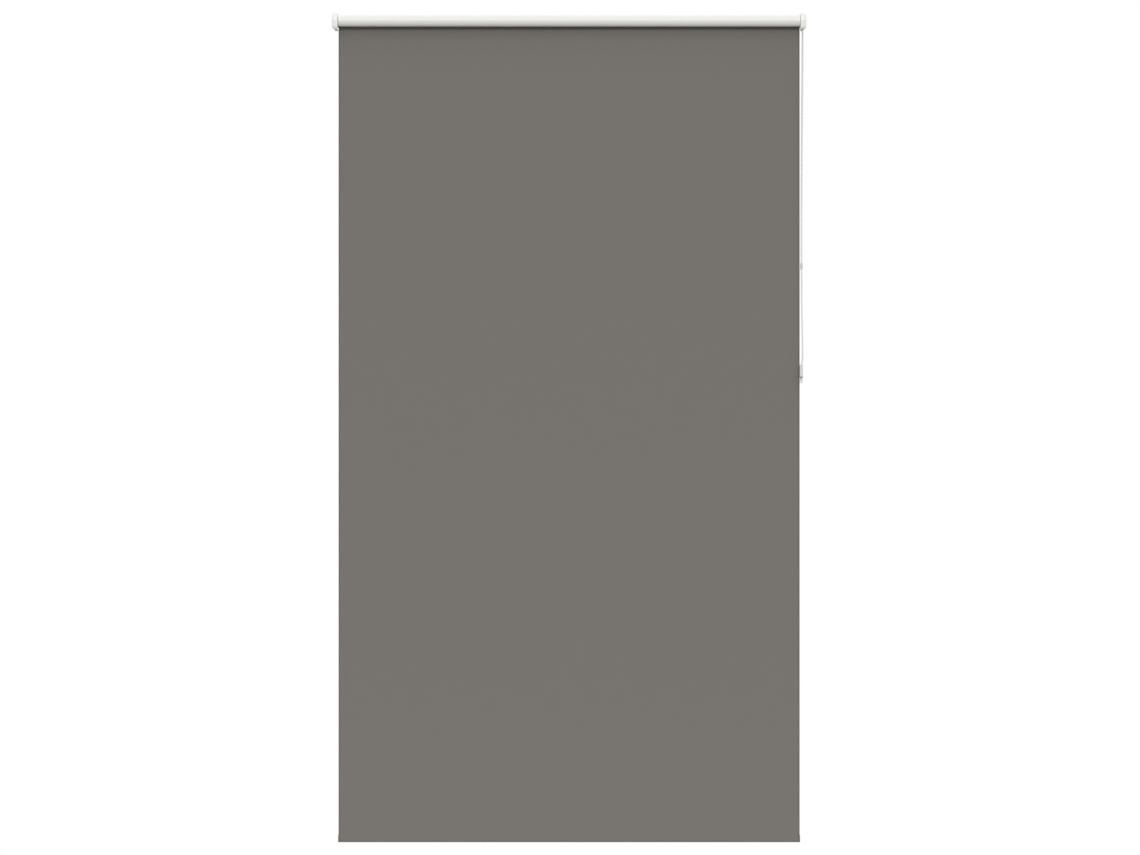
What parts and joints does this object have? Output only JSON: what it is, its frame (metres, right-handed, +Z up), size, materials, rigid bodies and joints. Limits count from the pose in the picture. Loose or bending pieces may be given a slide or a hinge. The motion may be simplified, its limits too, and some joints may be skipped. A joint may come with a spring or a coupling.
{
  "type": "roller blind",
  "caption": "Chain-operated roller blind: cloth on a tube between end brackets, raised and lowered by an endless bead chain, with a weighted hem rail and a wall chain tensioner.",
  "frame": {"origin": "on the wall plane, level with the tube's axis and midway between the two brackets", "axes": "+X along the tube to the right seen from the room, +Y towards the wall, +Z up"},
  "size_m": [1.2, 0.0465, 2.1008],
  "materials": {
    "tube_white": "white powder-coated aluminium tube",
    "tape_clear": "thin double-sided mounting tape",
    "cloth_grey": "plain woven polyester, mid grey",
    "rail_aluminium": "mill aluminium extrusion",
    "plastic_grey": "moulded grey end cap",
    "bracket_steel": "white painted steel plate",
    "plastic_white": "moulded white plastic, fine satin",
    "chain_white": "moulded white plastic beads on a polyester cord",
    "plastic_clear": "translucent plastic sleeve",
    "spring_steel": "bright drawn steel"
  },
  "bodies": {
    "frame": {"drive_bracket": "bracket_steel", "drive_cover": "plastic_white", "clutch_base": "plastic_white", "chain_guard": "plastic_white", "hub_washer": "spring_steel", "hub_screw": "spring_steel", "idle_bracket": "bracket_steel", "idle_cover": "plastic_white", "idle_bush": "plastic_white", "fabric_panel": "cloth_grey", "bead_chain": "chain_white", "chain_connector": "plastic_clear", "tensioner_inner_shell": "plastic_white", "tensioner_outer_shell": "plastic_white", "tensioner_pin": "spring_steel", "tensioner_screw": "spring_steel"},
    "roller": {"roller_tube": "tube_white", "fabric_tape": "tape_clear", "fabric_wrap": "cloth_grey", "chain_wheel": "plastic_white", "chain_on_wheel": "chain_white", "brake_springs": "spring_steel", "output_hub": "plastic_white", "idle_plug": "plastic_white", "idle_spring": "spring_steel", "idle_spring_seat": "plastic_white"},
    "idle_pin": {"idle_pin": "plastic_white"},
    "hem_rail": {"fabric_hem": "cloth_grey", "bottom_rail": "rail_aluminium", "rail_cap_left": "plastic_grey", "rail_cap_right": "plastic_grey"},
    "tensioner_wheel": {"tensioner_wheel": "plastic_white"}
  },
  "joints": [
    {"name": "bar_lift", "type": "slide", "parent": "frame", "child": "hem_rail", "axis": [0, 0, 1], "range_m": [0, 2.03], "deforming": ["fabric_panel"]},
    {"name": "tube_spin", "type": "hinge", "parent": "frame", "child": "roller", "pos_m": [0, -0.027, 0], "axis": [1, 0, 0], "range_deg": [0, 6705]},
    {"name": "tensioner_wheel_spin", "type": "hinge", "parent": "frame", "child": "tensioner_wheel", "pos_m": [0.588, -0.027, -0.89125], "axis": [1, 0, 0], "range_deg": [0, 11960]},
    {"name": "idle_pin_push", "type": "slide", "parent": "roller", "child": "idle_pin", "axis": [1, 0, 0], "range_m": [0, 0.007], "stiffness_N_per_m": 400, "springref_m": -0.005, "deforming": ["idle_spring"]}
  ],
  "couplings": [
    {"joint": "tube_spin", "follows": "bar_lift", "rad_per_m": 57.6},
    {"joint": "tensioner_wheel_spin", "follows": "bar_lift", "rad_per_m": 102.67}
  ]
}
